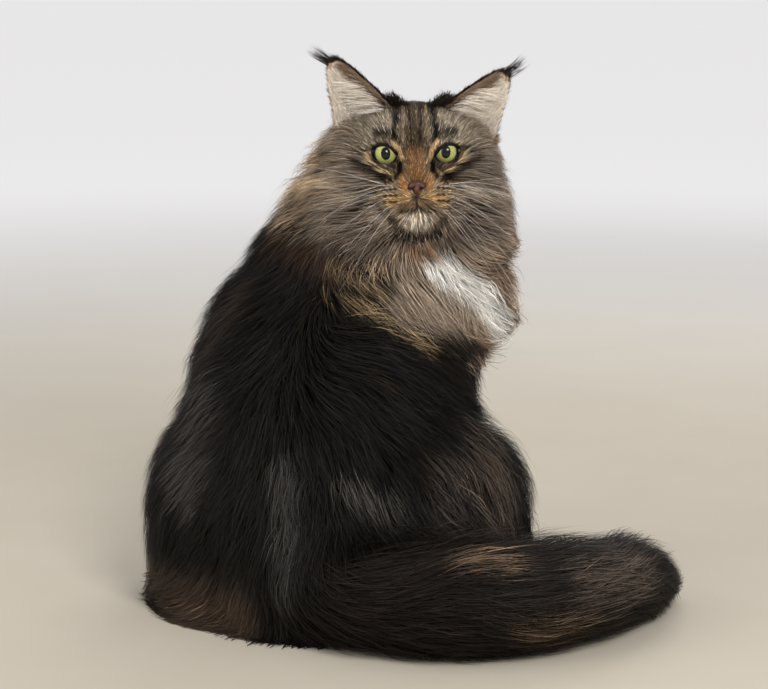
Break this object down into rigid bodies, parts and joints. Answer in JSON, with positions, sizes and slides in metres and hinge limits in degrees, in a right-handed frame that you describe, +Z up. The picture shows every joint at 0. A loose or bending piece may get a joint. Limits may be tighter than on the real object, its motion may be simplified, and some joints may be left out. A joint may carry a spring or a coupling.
{
  "type": "maine coon cat",
  "caption": "Life-size long-haired maine coon cat, sitting with its back turned and looking back over its right shoulder, bushy tail laid on the floor.",
  "frame": {"origin": "on the floor, under the middle of the hips", "axes": "+X is the cat's right, +Y the way its hips face, +Z up"},
  "size_m": [0.4508, 0.3233, 0.4648],
  "materials": {
    "black": "matte",
    "tabby": "matte",
    "grey_brown": "matte",
    "foot_brown": "matte",
    "ear_buff": "matte",
    "nose_leather": "satin",
    "eye_green": "gloss"
  },
  "bodies": {
    "root": {"eye_right": "eye_green", "eye_left": "eye_green", "nose": "nose_leather", "head": "tabby", "ear_right": "ear_buff", "ear_left": "ear_buff", "chest": "black", "hips": "black", "neck": "grey_brown", "foreleg_right": "tabby", "forepaw_right": "foot_brown", "foreleg_left": "tabby", "forepaw_left": "foot_brown", "hind_foot_right": "foot_brown", "hind_foot_left": "foot_brown", "thigh_right": "black", "thigh_left": "black", "tail_base": "black", "tail_middle": "black", "tail_end": "black"}
  },
  "joints": []
}
